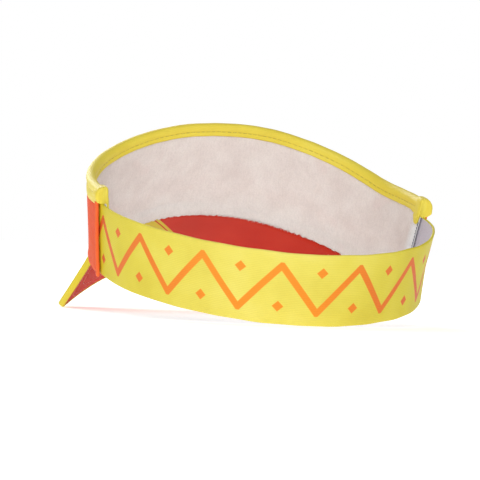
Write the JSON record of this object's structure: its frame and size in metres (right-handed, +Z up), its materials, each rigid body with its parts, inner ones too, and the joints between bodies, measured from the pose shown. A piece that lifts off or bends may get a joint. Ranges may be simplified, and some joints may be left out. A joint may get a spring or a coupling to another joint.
{
  "type": "sun visor",
  "caption": "Sun visor with a tall lined front panel, a curved fabric-covered brim and a wide elastic back band.",
  "frame": {"origin": "on the table, under the middle of the visor's bounding box", "axes": "+Z up, the brim points to -Y, the wearer's left is +X; the visor stands on its brim's two low corners and the back of its elastic"},
  "size_m": [0.1696, 0.2548, 0.0968],
  "materials": {
    "shell_fabric": "matte woven polyester, orange-red",
    "interlining": "thin white foam and scrim",
    "terry": "soft looped terry, warm grey",
    "binding_tape": "folded stretch tape, yellow",
    "thread_yellow": "polyester sewing thread",
    "thread_orange": "polyester sewing thread",
    "thread_grey": "polyester overlock thread",
    "brim_plastic": "flexible moulded board",
    "brim_top_fabric": "smooth woven polyester, yellow",
    "brim_under_fabric": "smooth woven polyester, deep red",
    "piping_fabric": "folded strip, bright orange",
    "elastic_webbing": "flat knitted elastic, yellow with an orange printed pattern"
  },
  "bodies": {
    "front": {"front_shell": "shell_fabric", "panel_interlining": "interlining", "terry_lining": "terry", "top_binding": "binding_tape", "top_binding_stitching": "thread_yellow", "brim_board": "brim_plastic", "brim_top_cover": "brim_top_fabric", "brim_under_cover": "brim_under_fabric", "brim_edge_stitching": "thread_yellow", "brim_root_stitching": "thread_orange", "side_piping_left": "piping_fabric", "side_piping_right": "piping_fabric", "side_overlock_left": "thread_grey", "side_overlock_right": "thread_grey"},
    "band_sides": {"elastic_left": "elastic_webbing", "elastic_right": "elastic_webbing"},
    "band_rear": {"elastic_rear": "elastic_webbing"}
  },
  "joints": [
    {"name": "band_tilt", "type": "hinge", "parent": "front", "child": "band_sides", "pos_m": [0, 0.02853, 0.03646], "axis": [1, 0, 0], "range_deg": [-12, 12], "stiffness_Nm_per_rad": 0.6, "springref_deg": -1.72},
    {"name": "band_stretch", "type": "slide", "parent": "band_sides", "child": "band_rear", "axis": [0, 0.9782, -0.2078], "range_m": [0, 0.04], "stiffness_N_per_m": 110, "deforming": ["elastic_left", "elastic_right"]}
  ]
}
